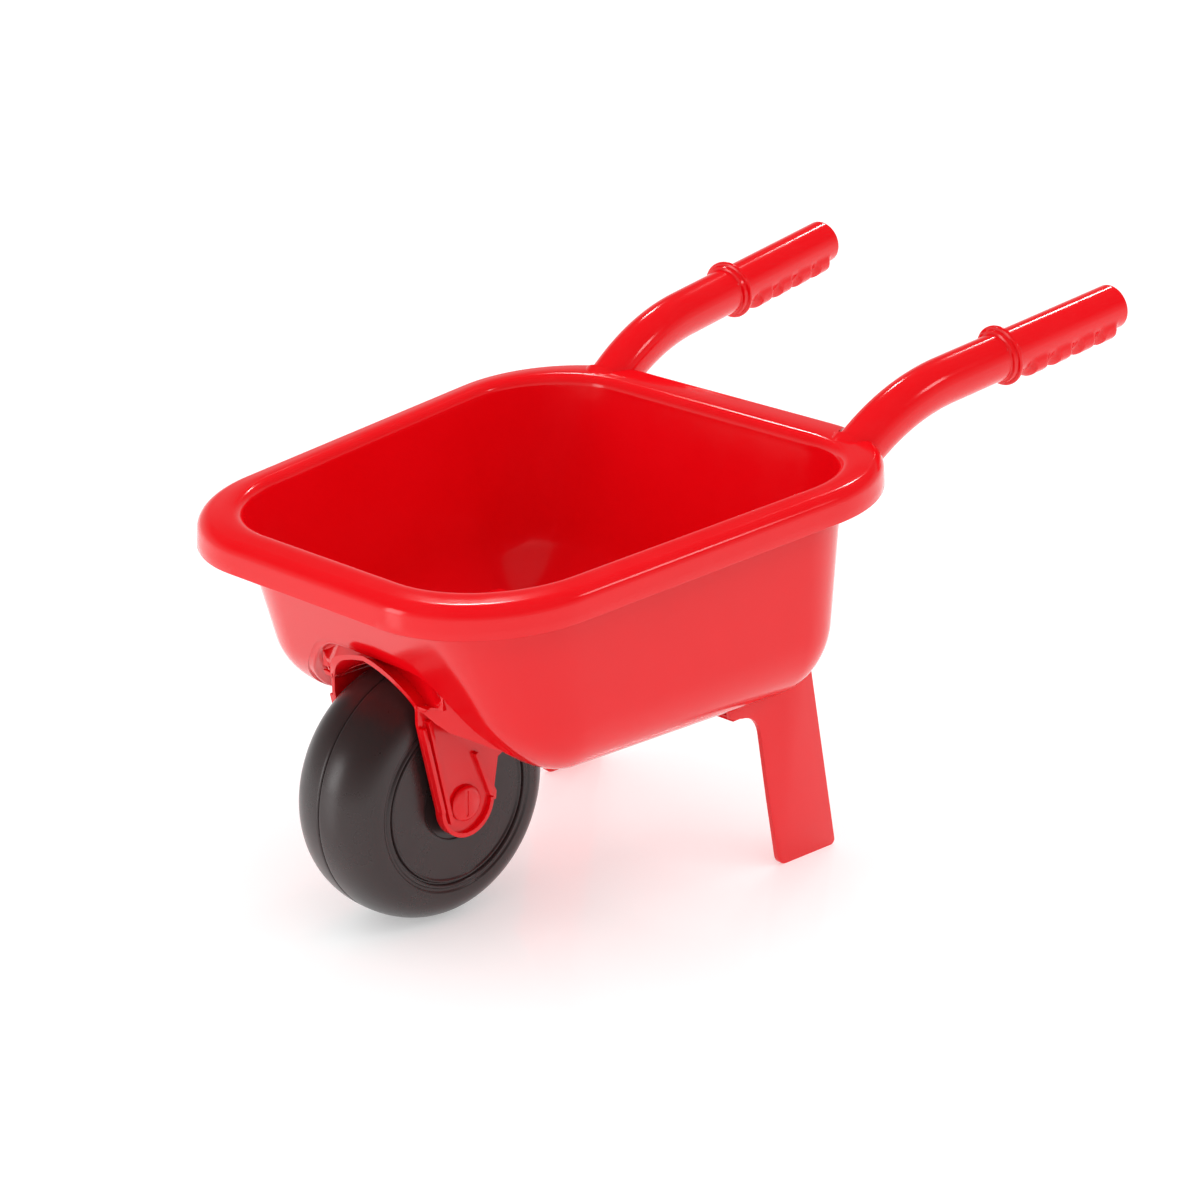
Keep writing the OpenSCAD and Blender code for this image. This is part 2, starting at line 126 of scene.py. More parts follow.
def prism(name, outline, axis, lo, hi):
    """Outline extruded from lo to hi. Along X it holds (y, z) points, along Y (x, z) points."""
    def put(p, d):
        return (d, p[0], p[1]) if axis == "X" else (p[0], d, p[1])

    return loft(name, [[put(p, d) for p in outline] for d in (lo, hi)], True, True)


def revolve_x(name, profile, centre, steps):
    """Closed profile of (x, radius) points turned about the X axis through centre."""
    cx, cy, cz = centre
    turns = [math.tau * j / steps for j in range(steps)]
    loops = [[(cx + x, cy + r * math.cos(a), cz + r * math.sin(a)) for a in turns] for x, r in profile]
    return loft(name, loops, ring=True)


def apply_modifiers(ob):
    deps = bpy.context.evaluated_depsgraph_get()
    me = bpy.data.meshes.new_from_object(ob.evaluated_get(deps))
    old = ob.data
    ob.modifiers.clear()
    ob.data = me
    bpy.data.meshes.remove(old)
    return ob


def boolean(ob, other, how):
    """ob joined with, cut by or kept inside the other object, which is used up."""
    m = ob.modifiers.new("cut", "BOOLEAN")
    m.object = other
    m.operation = how
    m.solver = "EXACT"
    bpy.context.view_layer.update()
    apply_modifiers(ob)
    bpy.data.objects.remove(other, do_unlink=True)
    return ob


def weld(ob, dist):
    """Points closer than dist joined, and faces with no area removed."""
    bm = bmesh.new()
    bm.from_mesh(ob.data)
    bmesh.ops.remove_doubles(bm, verts=bm.verts, dist=dist * MM)
    bmesh.ops.dissolve_degenerate(bm, edges=bm.edges, dist=dist * MM * 0.5)
    bm.to_mesh(ob.data)
    bm.free()
    return ob


def bevel(ob, width, angle):
    """Edges sharper than angle rounded over width."""
    m = ob.modifiers.new("edge", "BEVEL")
    m.width = width * MM
    m.segments = 3
    m.limit_method = "ANGLE"
    m.angle_limit = math.radians(angle)
    m.harden_normals = False
    m.use_clamp_overlap = True
    bpy.context.view_layer.update()
    return apply_modifiers(ob)


def shade(ob, angle):
    for p in ob.data.polygons:
        p.use_smooth = True
    ob.data.set_sharp_from_angle(angle=math.radians(angle))
    return ob


def finish_piece(ob, mat, body, node, angle):
    """Material, smooth shading, and the body and CAD node that the piece goes with."""
    ob.data.materials.clear()
    ob.data.materials.append(mat)
    shade(ob, angle)
    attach(ob, body)
    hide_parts(node)
    return ob


# ---------------------------------------------------------------- materials
def node_tree(name):
    mat = bpy.data.materials.new(name)
    mat.use_nodes = True
    nt = mat.node_tree
    nt.nodes.clear()
    out = nt.nodes.new("ShaderNodeOutputMaterial")
    bsdf = nt.nodes.new("ShaderNodeBsdfPrincipled")
    nt.links.new(bsdf.outputs["BSDF"], out.inputs["Surface"])
    return mat, nt, bsdf


def add(nt, kind, **values):
    """Node of this kind, with inputs or settings given by name."""
    n = nt.nodes.new(kind)
    for k, v in values.items():
        if k in n.inputs:
            n.inputs[k].default_value = v
        else:
            setattr(n, k, v)
    return n


def ramp(nt, source, lo, hi, a, b):
    """Map Range of a 0..1 source to a..b between lo and hi."""
    n = nt.nodes.new("ShaderNodeMapRange")
    n.inputs["From Min"].default_value = lo
    n.inputs["From Max"].default_value = hi
    n.inputs["To Min"].default_value = a
    n.inputs["To Max"].default_value = b
    nt.links.new(source, n.inputs["Value"])
    return n.outputs["Result"]


def moulded(name, deep, light, rough_lo, rough_hi, ior, grain, ripple, scuff=0.0):
    """Moulded plastic: cloudy colour, uneven gloss, fine grain, slow ripple and light scuffs."""
    mat, nt, bsdf = node_tree(name)
    link = nt.links.new
    coord = add(nt, "ShaderNodeTexCoord")
    cloud = add(nt, "ShaderNodeTexNoise", Scale=9.0, Detail=4.0, Roughness=0.55)
    link(coord.outputs["Object"], cloud.inputs["Vector"])
    mix = add(nt, "ShaderNodeMix", data_type="RGBA")
    link(ramp(nt, cloud.outputs["Fac"], 0.35, 0.65, 0.0, 1.0), mix.inputs[0])
    mix.inputs[6].default_value = (*deep, 1)
    mix.inputs[7].default_value = (*light, 1)
    link(mix.outputs[2], bsdf.inputs["Base Color"])
    wear = add(nt, "ShaderNodeTexNoise", Scale=38.0, Detail=6.0, Roughness=0.62)
    link(coord.outputs["Object"], wear.inputs["Vector"])
    rough = ramp(nt, wear.outputs["Fac"], 0.3, 0.7, rough_lo, rough_hi)
    if scuff:
        lines = add(nt, "ShaderNodeTexNoise", Scale=160.0, Detail=2.0, Roughness=0.5, Distortion=0.4)
        stretch = add(nt, "ShaderNodeMapping")
        stretch.inputs["Scale"].default_value = (1.0, 0.08, 0.35)
        link(coord.outputs["Object"], stretch.inputs["Vector"])
        link(stretch.outputs["Vector"], lines.inputs["Vector"])
        total = add(nt, "ShaderNodeMath", operation="ADD")
        link(rough, total.inputs[0])
        link(ramp(nt, lines.outputs["Fac"], 0.62, 0.78, 0.0, scuff), total.inputs[1])
        rough = total.outputs[0]
    link(rough, bsdf.inputs["Roughness"])
    bsdf.inputs["IOR"].default_value = ior
    fine = add(nt, "ShaderNodeTexNoise", Scale=900.0, Detail=2.0, Roughness=0.5)
    slow = add(nt, "ShaderNodeTexNoise", Scale=55.0, Detail=2.0, Roughness=0.4)
    link(coord.outputs["Object"], fine.inputs["Vector"])
    link(coord.outputs["Object"], slow.inputs["Vector"])
    bump_slow = add(nt, "ShaderNodeBump", Strength=ripple, Distance=0.0008)
    bump_fine = add(nt, "ShaderNodeBump", Strength=grain, Distance=0.00015)
    link(slow.outputs["Fac"], bump_slow.inputs["Height"])
    link(fine.outputs["Fac"], bump_fine.inputs["Height"])
    link(bump_slow.outputs["Normal"], bump_fine.inputs["Normal"])
    link(bump_fine.outputs["Normal"], bsdf.inputs["Normal"])
    return mat


def metal(name, colour, rough_lo, rough_hi):
    """Zinc plated steel with faint turning marks."""
    mat, nt, bsdf = node_tree(name)
    link = nt.links.new
    coord = add(nt, "ShaderNodeTexCoord")
    marks = add(nt, "ShaderNodeTexNoise", Scale=420.0, Detail=3.0, Roughness=0.6)
    cloud = add(nt, "ShaderNodeTexNoise", Scale=60.0, Detail=3.0, Roughness=0.5)
    link(coord.outputs["Object"], marks.inputs["Vector"])
    link(coord.outputs["Object"], cloud.inputs["Vector"])
    mix = add(nt, "ShaderNodeMix", data_type="RGBA")
    link(cloud.outputs["Fac"], mix.inputs[0])
    mix.inputs[6].default_value = (*[c * 0.85 for c in colour], 1)
    mix.inputs[7].default_value = (*colour, 1)
    link(mix.outputs[2], bsdf.inputs["Base Color"])
    bsdf.inputs["Metallic"].default_value = 1.0
    link(ramp(nt, marks.outputs["Fac"], 0.3, 0.7, rough_lo, rough_hi), bsdf.inputs["Roughness"])
    bump = add(nt, "ShaderNodeBump", Strength=0.25, Distance=0.0001)
    link(marks.outputs["Fac"], bump.inputs["Height"])
    link(bump.outputs["Normal"], bsdf.inputs["Normal"])
    return mat


RED = moulded("red_plastic", (0.770, 0.0014, 0.0050), (0.800, 0.0022, 0.0066),
              0.10, 0.16, 1.46, 0.05, 0.025, scuff=0.02)
BLACK = moulded("black_plastic", (0.0220, 0.0120, 0.0120), (0.0290, 0.0165, 0.0160),
                0.25, 0.33, 1.50, 0.20, 0.05, scuff=0.03)
BUSH = moulded("bearing_plastic", (0.045, 0.045, 0.046), (0.060, 0.060, 0.062),
               0.40, 0.50, 1.50, 0.3, 0.1)
STEEL = metal("zinc_steel", (0.62, 0.62, 0.64), 0.22, 0.38)

# ---------------------------------------------------------------- tub
# Outlines: front y, rear y, front half width, rear half width, front corner radius, rear corner radius
RIM_OUT = (-285.7, 77.2, 152.1, 167.5, 85.3, 85.7)
LIP_IN = (-268.0, 51.2, 135.0, 150.5, 76.8, 65.5)
WALL_TOP = (-264.75, 48.0, 131.75, 147.3, 73.6, 62.3)
WALL_LOW = (-207.8, 23.4, 129.8, 144.0, 37.0, 37.0)
RIM_Z, RIM_SLOPE = 262.1, math.tan(math.radians(5.06))
FLOOR_Z, FLOOR_SLOPE = 117.74, math.tan(math.radians(2.33))
WALL_RISE = 138.0   # height over which the wall widens, as the fillet uses it
FILLET = 43.8
SKIN = 3.0
UNDER_RIM = 0.955   # share of the wall's height where the rim's underside starts
LIP_FOOT = 0.93     # and where the inner lip runs out into the wall
# Rim's section, measured in from RIM_OUT and down from its top
UNDER_FILLET, UNDER_DROP = 4.0, 3.6
SKIRT_ROUND, SKIRT_ROUND_AT, SKIRT_ROUND_DROP = 4.6, 7.6, 8.0
SKIRT_LOW, SKIRT_LOW_DROP, SKIRT_TIP = 1.4, 18.4, 1.05
SHOULDER, DRAFT, CROWN, LIP_DROP = 8.2, 0.95, 0.6, 6.4


def mix6(a, b, t):
    return tuple(lerp(a[i], b[i], t) for i in range(6))


def shrink(o, d):
    yf, yr, hf, hr, rf, rr = o
    return (yf + d, yr - d, hf - d, hr - d, max(rf - d, 2.0), max(rr - d, 2.0))


def outline(o):
    """Rounded outline as (x, y) points: two front circles and two rear circles with their tangents."""
    yf, yr, hf, hr, rf, rr = o
    c1, c2 = (hf - rf, yf + rf), (hr - rr, yr - rr)
    dx, dy = c2[0] - c1[0], c2[1] - c1[1]
    dist = math.hypot(dx, dy)
    k = (rf - rr) / dist
    ux, uy = dx / dist, dy / dist
    nx, ny = ux * k + uy * math.sqrt(1 - k * k), uy * k - ux * math.sqrt(1 - k * k)
    side = math.atan2(ny, nx)
    right = []
    front, arc, flank, back = 14, 26, 40, 14
    for i in range(front):
        right.append((c1[0] * i / front, yf))
    for i in range(arc):
        a = lerp(-math.pi / 2, side, i / arc)
        right.append((c1[0] + rf * math.cos(a), c1[1] + rf * math.sin(a)))
    p, q = (c1[0] + rf * nx, c1[1] + rf * ny), (c2[0] + rr * nx, c2[1] + rr * ny)
    for i in range(flank):
        right.append((lerp(p[0], q[0], i / flank), lerp(p[1], q[1], i / flank)))
    for i in range(arc):
        a = lerp(side, math.pi / 2, i / arc)
        right.append((c2[0] + rr * math.cos(a), c2[1] + rr * math.sin(a)))
    for i in range(back + 1):
        right.append((c2[0] * (1 - i / back), yr))
    left = [(-x, y) for x, y in reversed(right[1:-1])]
    return right + left


def rim_loop(o, drop):
    return [(x, y, RIM_Z + RIM_SLOPE * y - drop) for x, y in outline(o)]


def wall_loop(t, inset):
    o = shrink(mix6(WALL_LOW, WALL_TOP, t), inset)
    return [
        (x, y, lerp(FLOOR_Z + FLOOR_SLOPE * y, RIM_Z + RIM_SLOPE * y, t)) for x, y in outline(o)
    ]


def wall_down(skin, top, steps_wall=16, steps_fillet=18):
    """Loops from the top of a wall down round its bottom fillet to the flat floor."""
    r = FILLET - skin
    start = (skin + r) / WALL_RISE
    loops = [wall_loop(lerp(top, start, i / steps_wall), skin) for i in range(steps_wall)]
    for i in range(steps_fillet + 1):
        a = math.radians(90 * i / steps_fillet)
        up, inset = skin + r * (1 - math.sin(a)), skin + r * (1 - math.cos(a))
        loops.append(wall_loop(up / WALL_RISE, inset))
    return loops


def arc_points(cx, cy, r, a0, a1, n):
    """Points on an arc from a0 to a1 degrees."""
    turns = [math.radians(lerp(a0, a1, i / n)) for i in range(n + 1)]
    return [(cx + r * math.cos(a), cy + r * math.sin(a)) for a in turns]


def tub_shell():
    """One closed skin: outer wall, underside of the rim, skirt, rolled top, inner wall."""
    loops = list(reversed(wall_down(0.0, UNDER_RIM)))
    # fillet under the rim, then the underside and the inside of the skirt
    for x, y in arc_points(0, 0, UNDER_FILLET, 0, 90, 4)[1:]:
        loops.append(rim_loop(shrink(WALL_TOP, x - UNDER_FILLET), UNDER_DROP + UNDER_FILLET - y))
    under = mix6(shrink(WALL_TOP, -UNDER_FILLET), shrink(RIM_OUT, SKIRT_ROUND_AT), 0.6)
    loops.append(rim_loop(under, UNDER_DROP - 0.2))
    for x, y in arc_points(SKIRT_ROUND_AT, 0, SKIRT_ROUND, 90, 180, 5):
        loops.append(rim_loop(shrink(RIM_OUT, x), SKIRT_ROUND_DROP - y))
    loops.append(rim_loop(shrink(RIM_OUT, 2.5), SKIRT_LOW_DROP - 0.2))
    for x, y in arc_points(SKIRT_LOW, SKIRT_LOW_DROP, SKIRT_TIP, 20, 170, 5):
        loops.append(rim_loop(shrink(RIM_OUT, x), y))
    # outside of the skirt and the rounded shoulder
    loops.append(rim_loop(shrink(RIM_OUT, 0.55), 13.5))
    for x, y in arc_points(DRAFT + SHOULDER, 0, SHOULDER, 180, 90, 10):
        loops.append(rim_loop(shrink(RIM_OUT, x), CROWN + SHOULDER - y))
    # crowned band, then the rounded lip into the inner wall
    band_out = shrink(RIM_OUT, DRAFT + SHOULDER)
    for t, lift in ((0.3, 0.25), (0.6, 0.0)):
        loops.append(rim_loop(mix6(band_out, LIP_IN, t), lift))
    inner = shrink(mix6(WALL_LOW, WALL_TOP, UNDER_RIM), SKIN)
    for i in range(9):
        a = math.radians(90 * i / 8)
        loops.append(rim_loop(mix6(LIP_IN, inner, math.sin(a)), LIP_DROP * (1 - math.cos(a))))
    loops += wall_down(SKIN, LIP_FOOT)
    return loft("tub", loops, cap_first=True, cap_last=True)


# Half outline of the wheel arch in the front wall: x against z
ARCH = [(0, 169.4), (24, 169.4), (34, 169.0), (40, 167.8), (45, 165.4), (51, 161.6), (57, 156.0),
        (62, 150.6), (70, 141.4), (76, 133.8), (80, 128.2), (84, 121.6), (86.6, 113.0), (88, 100.0),
        (88, 90.0)]
ARCH_REAR, ARCH_FRONT = -101.5, -330.0
ARCH_ROUND = 2.2


def resampled(points, steps):
    """Half outline resampled evenly along a smooth curve through its points."""
    dist = [0.0]
    for a, b in zip(points, points[1:]):
        dist.append(dist[-1] + math.hypot(b[0] - a[0], b[1] - a[1]))
    return [
        tuple(pchip(dist, [p[k] for p in points], dist[-1] * i / steps) for k in (0, 1))
        for i in range(steps + 1)
    ]


def arch_outline(grow):
    """Smooth arch outline from the right foot over the top to the left foot, grown outwards."""
    pts = resampled(ARCH, 64)
    full = [(-x, z) for x, z in reversed(pts[1:])] + pts
    out = []
    for i, (x, z) in enumerate(full):
        ax, az = full[max(i - 1, 0)]
        bx, bz = full[min(i + 1, len(full) - 1)]
        d = math.hypot(bx - ax, bz - az)
        nx, nz = -(bz - az) / d, (bx - ax) / d
        out.append((x + nx * grow, z + nz * grow))
    return out


def arch_cutter():
    """Cutting tool for the arch that leaves a rounded edge on the outer wall."""
    body = loft("outer_body", wall_down(0.0, 1.0), cap_first=True, cap_last=True)
    bm = bmesh.new()
    bm.from_mesh(body.data)
    tree = BVHTree.FromBMesh(bm)
    bm.free()
    bpy.data.objects.remove(body, do_unlink=True)
    base = arch_outline(0.0)
    # the wall's y in front of each point; below the floor's edge the lowest hit is used
    lowest_hit, no_wall = 116.5, -150.0
    surf = []
    for x, z in base:
        start = Vector((x, -500.0, max(z, lowest_hit))) * MM
        hit = tree.ray_cast(start, Vector((0, 1, 0)))[0]
        surf.append(hit.y / MM if hit is not None else no_wall)
    loops = [[(x, ARCH_REAR, z) for x, z in base]]
    r = ARCH_ROUND
    for k in range(6):
        a = math.radians(90 * k / 5)
        grown = arch_outline(r * (1 - math.cos(a)))
        back = r * (1 - math.sin(a)) * 0.9
        loops.append([(x, y + back, z) for (x, z), y in zip(grown, surf)])
    grown = arch_outline(r + 2.0)
    loops.append([(x, y - 1.2, z) for (x, z), y in zip(grown, surf)])
    loops.append([(x, ARCH_FRONT, z) for x, z in grown])
    return loft("arch_cutter", loops, cap_first=True, cap_last=True)


# ---------------------------------------------------------------- handle line
HANDLE = (111.0, 102.0, 283.0)     # corner of the bend on the near side
ROOT, GRIP, SPLAY = 35.6, 8.5, 4.5     # slopes of the two straights and the outward turn, in degrees
BEND_R = 149.0
COLLAR_AT, GRIP_LEN = 85.8, 103.5
GRIP_R = 14.6
BEND_LEN = BEND_R * math.tan(math.radians((ROOT - GRIP) / 2))
ARC_LEN = BEND_R * math.radians(ROOT - GRIP)


def handle_point(side, s):
    """Point, down and across on the handle's line at s, measured from the bend's middle."""
    if abs(s) > ARC_LEN / 2:
        slope = GRIP if s > 0 else ROOT
        d = s + math.copysign(BEND_LEN - ARC_LEN / 2, s)
        y, z = d * math.cos(math.radians(slope)), d * math.sin(math.radians(slope))
    else:
        f = (s + ARC_LEN / 2) / ARC_LEN
        slope = lerp(ROOT, GRIP, f)
        r0, r1 = math.radians(ROOT), math.radians(slope)
        y = -BEND_LEN * math.cos(r0) + BEND_R * (math.sin(r0) - math.sin(r1))
        z = -BEND_LEN * math.sin(r0) + BEND_R * (math.cos(r1) - math.cos(r0))
    sp = math.radians(SPLAY)
    p = Vector((HANDLE[0] + y * math.sin(sp), HANDLE[1] + y * math.cos(sp), HANDLE[2] + z))
    sl = math.radians(slope)
    down = Vector((math.sin(sp) * math.sin(sl), math.cos(sp) * math.sin(sl), -math.cos(sl)))
    across = Vector((math.cos(sp), -math.sin(sp), 0))
    if side < 0:
        p.x, down.x, across.x = -p.x, -down.x, -across.x
    return p, down, across


def straight_s(from_corner):
    """Arc position for a straight distance past the bend's corner."""
    return from_corner - BEND_LEN + ARC_LEN / 2


def lower_s(before_corner):
    """Arc position for a straight distance before the bend's corner."""
    return BEND_LEN - ARC_LEN / 2 - before_corner


def handle_ring(side, s, radius, steps):
    """Ring round the handle's line at s; radius is a number or a function of the angle."""
    p, down, across = handle_point(side, s)
    ring = []
    for j in range(steps):
        a = math.tau * j / steps
        r = radius(a) if callable(radius) else radius
        ring.append(tuple(p + (across * math.cos(a) + down * math.sin(a)) * r))
    return ring


def rod(name, side, r, s0, s1, steps=48):
    """Straight round bar on the handle's line from s0 to s1."""
    return loft(name, [handle_ring(side, s, r, steps) for s in (s0, s1)], True, True)


SLEEVE_R, SOCKET_R, BORE_R = 18.2, 17.3, 15.35
# Distances before the bend's corner: far and near ends of the sleeve, the socket and the bore
SLEEVE_AT, SOCKET_AT, BORE_AT = (76, 47), (62, 8), (64, 40)
BOSSES = ((-96, 30), (-70, 30), (-30, 86), (-10, 86))     # y against half spacing
BOSS = ((2.1, -2.0), (2.1, -5.6), (4.6, -6.0), (5.0, -5.6), (5.3, 1.0))     # radius against height


def screw_boss(x, y):
    """Hollow boss under the floor."""
    z = FLOOR_Z + FLOOR_SLOPE * y
    turns = [math.tau * j / 40 for j in range(40)]
    loops = [[(x + r * math.cos(a), y + r * math.sin(a), z + dz) for a in turns] for r, dz in BOSS]
    return loft("boss", loops, True, True)


def build_tub():
    tub = tub_shell()
    hump = prism("hump", arch_outline(ARCH_ROUND), "Y", -300, ARCH_REAR + SKIN)
    boolean(hump, loft("inner_hull", wall_down(1.2, 0.95), True, True), "INTERSECT")
    boolean(tub, hump, "UNION")
    for side in (-1, 1):
        sleeve = rod("sleeve", side, SLEEVE_R, -SLEEVE_AT[0], lower_s(SLEEVE_AT[1]))
        cavity = loft("cavity", [rim_loop(shrink(WALL_TOP, 1.5), -3)] + wall_down(1.5, 0.99), True, True)
        boolean(sleeve, cavity, "DIFFERENCE")
        boolean(tub, sleeve, "UNION")
    boolean(tub, arch_cutter(), "DIFFERENCE")
    for side in (-1, 1):
        hole = rod("hole", side, SOCKET_R, *map(lower_s, SOCKET_AT), 64)
        boolean(hole, rod("keep", side, SLEEVE_R, *map(lower_s, SLEEVE_AT)), "DIFFERENCE")
        boolean(tub, hole, "DIFFERENCE")
        boolean(tub, rod("bore", side, BORE_R, *map(lower_s, BORE_AT), 64), "DIFFERENCE")
        for y, x in BOSSES:
            boolean(tub, screw_boss(side * x, y), "UNION")
    weld(tub, 0.01)
    return finish_piece(tub, RED, "barrow", "tub", angle=28)


build_tub()


# ---------------------------------------------------------------- handles
RIDGES = [14.2, 35.8, 57.0, 77.4]     # where each finger ridge starts, past the collar
RIDGE_LEN, RIDGE_RISE = 17.6, 4.8
END_ROUND = 2.0
HOLLOW_R, SOCKET_END, ROOT_CUT_Y = 12.7, 66.5, 49.25
# Stepped ring, fillets and the collar's thin disc: distance from the collar against radius
COLLAR = [(-4.45, 16.5), (-4.1, 17.1), (-3.4, 17.3), (-2.2, 17.4), (-1.75, 17.6), (-1.55, 18.2),
          (-1.45, 18.9), (-1.2, 19.35), (-0.8, 19.6), (0.4, 19.6), (0.95, 19.4), (1.25, 18.95),
          (1.35, 18.2), (1.4, 15.6), (1.7, 14.9), (2.3, GRIP_R)]


def grip_radius(d, ang):
    """Radius of the handle at distance d past the collar, ang 0 across and 90 degrees straight down."""
    r = GRIP_R
    down = math.sin(ang)
    if down <= 0:
        return r
    for at in RIDGES:
        u = (d - at) / RIDGE_LEN
        if 0.0 < u < 1.0:
            rise = smooth(u / 0.20) * (1 - smooth((u - 0.70) / 0.30))
            r += RIDGE_RISE * rise * smooth((down - 0.22) / 0.5)
    return r


def handle(side, name):
    root = lower_s(SOCKET_END)
    bounds = [root, -10, straight_s(40), straight_s(COLLAR_AT)]

    def ring(s, radius):
        return handle_ring(side, s, radius, 96)

    def tube_r(s):
        return pchip(bounds, [15.2, 15.3, 15.3, 15.2], s)

    end_tube = straight_s(COLLAR_AT - 6.0)
    loops = []
    for i in range(47):
        s = lerp(root, end_tube, i / 46)
        loops.append(ring(s, tube_r(s)))
    base = tube_r(straight_s(COLLAR_AT))
    for d, r in [(-5.2, base), (-4.9, base + 0.15), (-4.55, base + 0.7)] + COLLAR:
        loops.append(ring(straight_s(COLLAR_AT + d), r))
    d = 3.2
    while d < GRIP_LEN - 2.6:
        loops.append(ring(straight_s(COLLAR_AT + d), lambda a, d=d: grip_radius(d, a)))
        d += 0.8
    end = COLLAR_AT + GRIP_LEN
    for x, r in arc_points(0, 0, END_ROUND, 90, 0, 6):
        loops.append(ring(straight_s(end - END_ROUND + x), GRIP_R - END_ROUND + r))
    loops.append(ring(straight_s(end), GRIP_R * 0.5))
    ob = loft(name, loops, cap_first=True, cap_last=True)
    stops = [root - 6] + [lerp(root, straight_s(30), i / 10) for i in range(11)]
    hollow = loft("hollow", [ring(s, HOLLOW_R) for s in stops], True, True)
    boolean(ob, hollow, "DIFFERENCE")
    # the root is cut upright, flush with the inside of the socket
    block = prism("block", [(-300, 100), (ROOT_CUT_Y, 100), (ROOT_CUT_Y, 400), (-300, 400)], "X", -300, 300)
    boolean(ob, block, "DIFFERENCE")
    node = name.replace("_piece", "")
    return finish_piece(ob, RED, "barrow", node, angle=35)


handle(1, "handle_left_piece")
handle(-1, "handle_right_piece")

# ---------------------------------------------------------------- wheel
AXLE = (0.0, -197.5, 80.0)
WHEEL_R, HALF, DISC_R = 80.0, 33.1, 58.5
TREAD_POWER = 0.893     # roundness of the tread's section, 1 for an ellipse
BORE, GAP = 12.2, 0.22     # the half's centre hole, and its distance from the parting plane
# Rings and dished centre of the face: distance out from HALF against radius
FACE = [(0.0, 57.9), (-0.25, 57.4), (-0.9, 56.7), (-0.95, 55.2), (-0.2, 54.6), (0.2, 54.0), (0.2, 53.4),
        (-0.2, 52.9), (-1.7, 52.4), (-1.8, 51.7), (-0.8, 51.2), (-0.35, 50.8), (-0.35, 50.2),
        (-0.9, 49.7), (-1.3, 49.1), (-1.3, 38.0), (-1.3, 26.8), (-1.4, 25.8), (-1.7, 24.9),
        (-2.3, 24.4), (-2.6, 23.6), (-2.6, BORE)]
# Rounded edge at the parting line: distance from the middle against depth below the tread
PARTING = [(GAP, 1.0), (0.35, 0.55), (0.7, 0.18), (1.2, 0.03)]


def wheel_profile():
    """(x, radius) loop round one half's moulded shell."""
    outer = []
    for i in range(31):
        a = math.radians(90 * i / 30)
        x = HALF * math.sin(a) ** TREAD_POWER
        r = DISC_R + (WHEEL_R - DISC_R) * max(math.cos(a), 0.0) ** TREAD_POWER
        if x > PARTING[-1][0] + 0.1:
            outer.append((x, r))
    tread = [(x, WHEEL_R - d) for x, d in PARTING]
    face = [(HALF + x, r) for x, r in FACE]
    return [(GAP, BORE), (GAP, WHEEL_R - 3.0)] + tread + outer + face


def wheel_half(name, side, node):
    profile = [(side * x, r) for x, r in wheel_profile()]
    ob = revolve_x(name, profile, AXLE, steps=224)
    return finish_piece(ob, BLACK, "wheel", node, angle=24)


wheel_half("wheel_left_piece", 1, "wheel_half_left")
wheel_half("wheel_right_piece", -1, "wheel_half_right")

# ---------------------------------------------------------------- carried-over CAD nodes
for node, mat in (
    ("fork_screws", STEEL), ("wheel_screws", STEEL), ("handle_screws", STEEL), ("leg_screws", STEEL),
    ("axle", STEEL), ("thrust_washer_left", STEEL), ("thrust_washer_right", STEEL),
    ("hub_tube", BUSH), ("wheel_bush_left", BUSH), ("wheel_bush_right", BUSH),
):
    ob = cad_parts[node]
    if not ob.material_slots:
        ob.data.materials.append(mat)
    for slot in ob.material_slots:
        slot.material = mat

# ---------------------------------------------------------------- softened mouldings
def softened(node, width):
    """Red piece with the CAD node's own shape and small moulded radii on all its edges."""
    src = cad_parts[node]
    me = src.data.copy()
    me.transform(src.matrix_world)
    ob = bpy.data.objects.new(node + "_piece", me)
    bpy.context.scene.collection.objects.link(ob)
    weld(ob, 0.01)
    bm = bmesh.new()
    bm.from_mesh(ob.data)
    bmesh.ops.dissolve_limit(bm, angle_limit=math.radians(0.6), verts=bm.verts, edges=bm.edges)
    bm.to_mesh(ob.data)
    bm.free()
    bevel(ob, width, 38)
    return finish_piece(ob, RED, "barrow", node, angle=34)


# Half outlines of the fork's hood, across against height: its outside, its inside, and the panel beside it
HOOD_OUT = [(0, 167.8), (7.5, 166.3), (14.8, 163.8), (24.2, 159.7), (31.1, 155.9), (35.5, 152.5),
            (37.9, 150.0), (38.7, 148.0)]
HOOD_IN = [(0, 164.9), (7, 163.5), (14, 161.1), (22.9, 157.1), (29.3, 153.5), (33.3, 150.5), (35.3, 148.5),
           (35.9, 147.0)]
PANEL = [(0, 169.6), (24, 169.6), (34, 169.2), (40, 168.0), (45, 165.6), (51, 161.8), (53.5, 159.0),
         (53.5, 149.5), (36.6, 149)]
LIP_REACH, LIP_RISE, LIP_SPREAD = 8.0, 5.0, 4.2
ARM_FRONT, PANEL_FRONT, PANEL_BACK = -232.6, -226.4, -223.8


def band(outer, inner):
    """Closed outline between two half outlines and their mirror images."""
    out = [(-x, z) for x, z in reversed(outer[1:])] + outer
    return out + list(reversed(inner)) + [(-x, z) for x, z in inner[1:]]


def hood_lip():
    """Front end of the hood, turned up into a lip under the tub's arch; its feet stay on the arms."""
    outline = band(resampled(HOOD_OUT, 36), resampled(HOOD_IN, 36))
    loops = []
    for k in range(9):
        f = k / 8
        loop = []
        for x, z in outline:
            up = smooth((z - 146) / 17)
            side = math.copysign(smooth(abs(x) / 22), x)
            y = lerp(-224.0, ARM_FRONT - LIP_REACH * up, f)
            loop.append((x + LIP_SPREAD * side * f * f * up, y, z + LIP_RISE * f * f * up))
        loops.append(loop)
    return loft("lip", loops, True, True)


